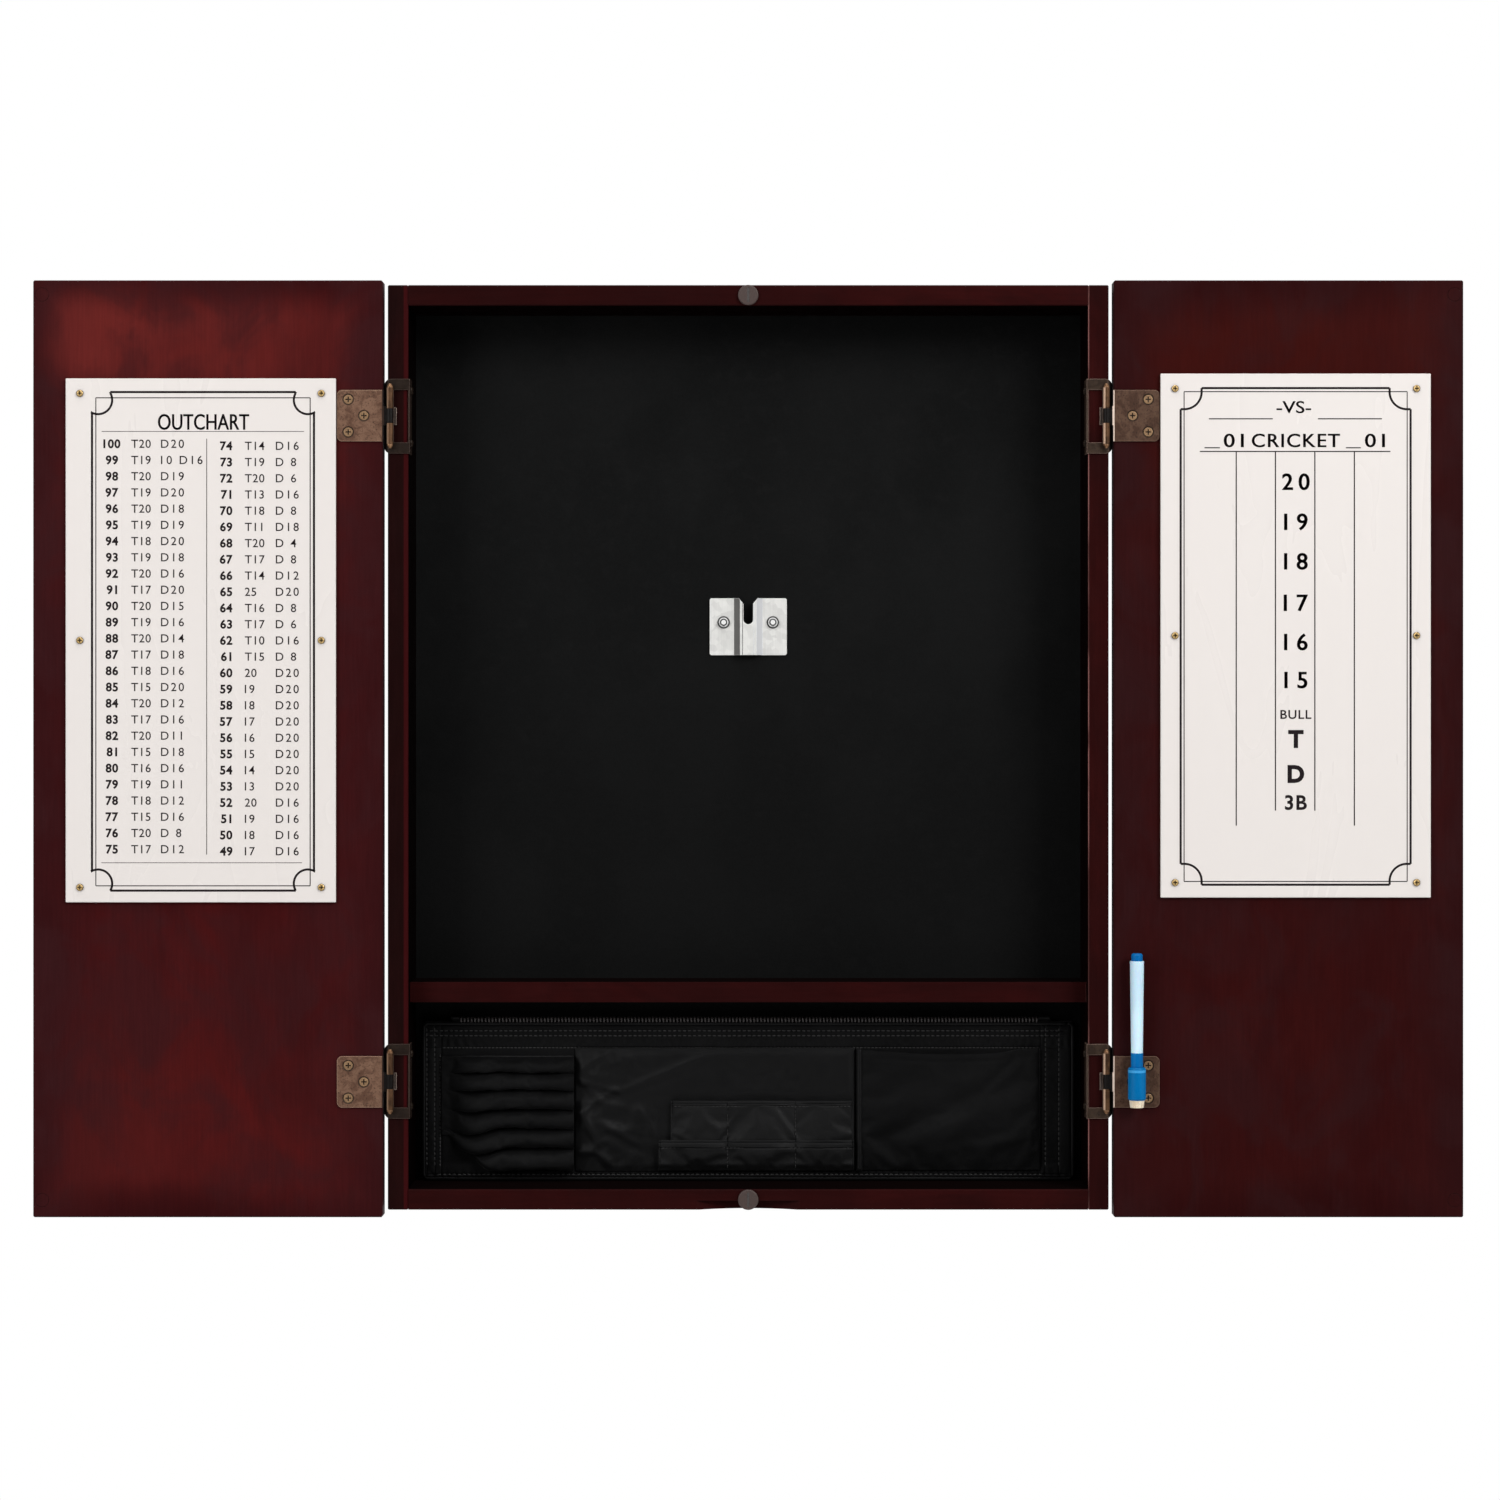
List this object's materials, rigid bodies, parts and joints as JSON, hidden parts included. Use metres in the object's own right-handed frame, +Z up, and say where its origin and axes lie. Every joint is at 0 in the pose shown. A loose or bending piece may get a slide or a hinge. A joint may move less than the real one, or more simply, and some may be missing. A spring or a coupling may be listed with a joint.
{
  "type": "dart board cabinet",
  "caption": "Wooden wall cabinet for a bristle dartboard, with hinged doors that carry write-on boards, a hanging bracket, a pocket organizer and a magnetic marker.",
  "frame": {"origin": "the dartboard's centre axis where it meets the wall, which is also the centre of the four wall screws", "axes": "+X to the viewer's right, +Y into the wall, +Z up; the doors open to the left and right of the case"},
  "size_m": [1.044, 0.0906, 0.684],
  "materials": {
    "mahogany_wood": "satin lacquer over a dark red-brown stain, faint upright grain",
    "plain_wood": "bare softwood",
    "black_board": "flat black paint",
    "zinc_sheet": "galvanised, satin",
    "antique_brass": "antique bronze plate, mottled",
    "bright_brass": "bright brass plate",
    "catch_metal": "dull nickel",
    "magnet": "black ferrite",
    "painted_steel": "painted over with the door's finish",
    "write_on_board": "glossy write-on surface with printed lines",
    "hook_and_loop": "hook-and-loop tape",
    "black_nylon": "woven nylon with satin binding and stitching",
    "blue_plastic": "moulded plastic",
    "pale_blue_plastic": "translucent moulded plastic",
    "felt": "dense wool felt"
  },
  "bodies": {
    "cabinet": {"left_side_panel": "mahogany_wood", "right_side_panel": "mahogany_wood", "top_panel": "mahogany_wood", "bottom_panel": "mahogany_wood", "divider_shelf": "mahogany_wood", "back_panel": "black_board", "upper_wall_rail": "plain_wood", "lower_wall_rail": "plain_wood", "bracket_backer": "plain_wood", "corner_dowels": "plain_wood", "dartboard_bracket": "zinc_sheet", "bracket_screws": "zinc_sheet", "hinge_wing_upper_left": "antique_brass", "hinge_wing_lower_left": "antique_brass", "hinge_wing_upper_right": "antique_brass", "hinge_wing_lower_right": "antique_brass", "hinge_pin_upper_left": "antique_brass", "hinge_pin_lower_left": "antique_brass", "hinge_pin_upper_right": "antique_brass", "hinge_pin_lower_right": "antique_brass", "hinge_spring_upper_left": "zinc_sheet", "hinge_spring_lower_left": "zinc_sheet", "hinge_spring_upper_right": "zinc_sheet", "hinge_spring_lower_right": "zinc_sheet", "wing_screws_left": "antique_brass", "wing_screws_right": "antique_brass", "upper_magnet_catch": "catch_metal", "lower_magnet_catch": "catch_metal", "upper_catch_magnet": "magnet", "lower_catch_magnet": "magnet", "organizer_panel": "black_nylon", "organizer_binding": "black_nylon", "organizer_hook_strips": "hook_and_loop", "dart_pockets": "black_nylon", "small_pockets_rear": "black_nylon", "small_pockets_front": "black_nylon", "large_pocket": "black_nylon"},
    "left_door": {"left_door_panel": "mahogany_wood", "left_board": "write_on_board", "left_board_screws": "bright_brass", "left_leaf_upper": "antique_brass", "left_leaf_lower": "antique_brass", "left_leaf_screws": "antique_brass", "left_strike_discs": "painted_steel"},
    "right_door": {"right_door_panel": "mahogany_wood", "right_board": "write_on_board", "right_board_screws": "bright_brass", "right_leaf_upper": "antique_brass", "right_leaf_lower": "antique_brass", "right_leaf_screws": "antique_brass", "right_strike_discs": "painted_steel"},
    "marker_cap_unit": {"marker_cap": "blue_plastic", "marker_magnet": "magnet", "marker_eraser": "felt"},
    "marker_pen": {"marker_barrel": "pale_blue_plastic", "marker_neck": "blue_plastic", "marker_end_plug": "blue_plastic", "marker_nib": "felt", "marker_reservoir": "felt"}
  },
  "joints": [
    {"name": "left_door_hinge", "type": "hinge", "parent": "cabinet", "child": "left_door", "pos_m": [-0.2615, -0.0754, 0], "axis": [0, 0, 1], "range_deg": [0, 180]},
    {"name": "right_door_hinge", "type": "hinge", "parent": "cabinet", "child": "right_door", "pos_m": [0.2615, -0.0754, 0], "axis": [0, 0, 1], "range_deg": [-180, 0]},
    {"name": "marker_on_leaf", "type": "slide", "parent": "right_door", "child": "marker_cap_unit", "axis": [0, 0, 1], "range_m": [0, 0.06]},
    {"name": "pen_from_cap", "type": "slide", "parent": "marker_cap_unit", "child": "marker_pen", "axis": [0, 0, 1], "range_m": [0, 0.04]}
  ]
}
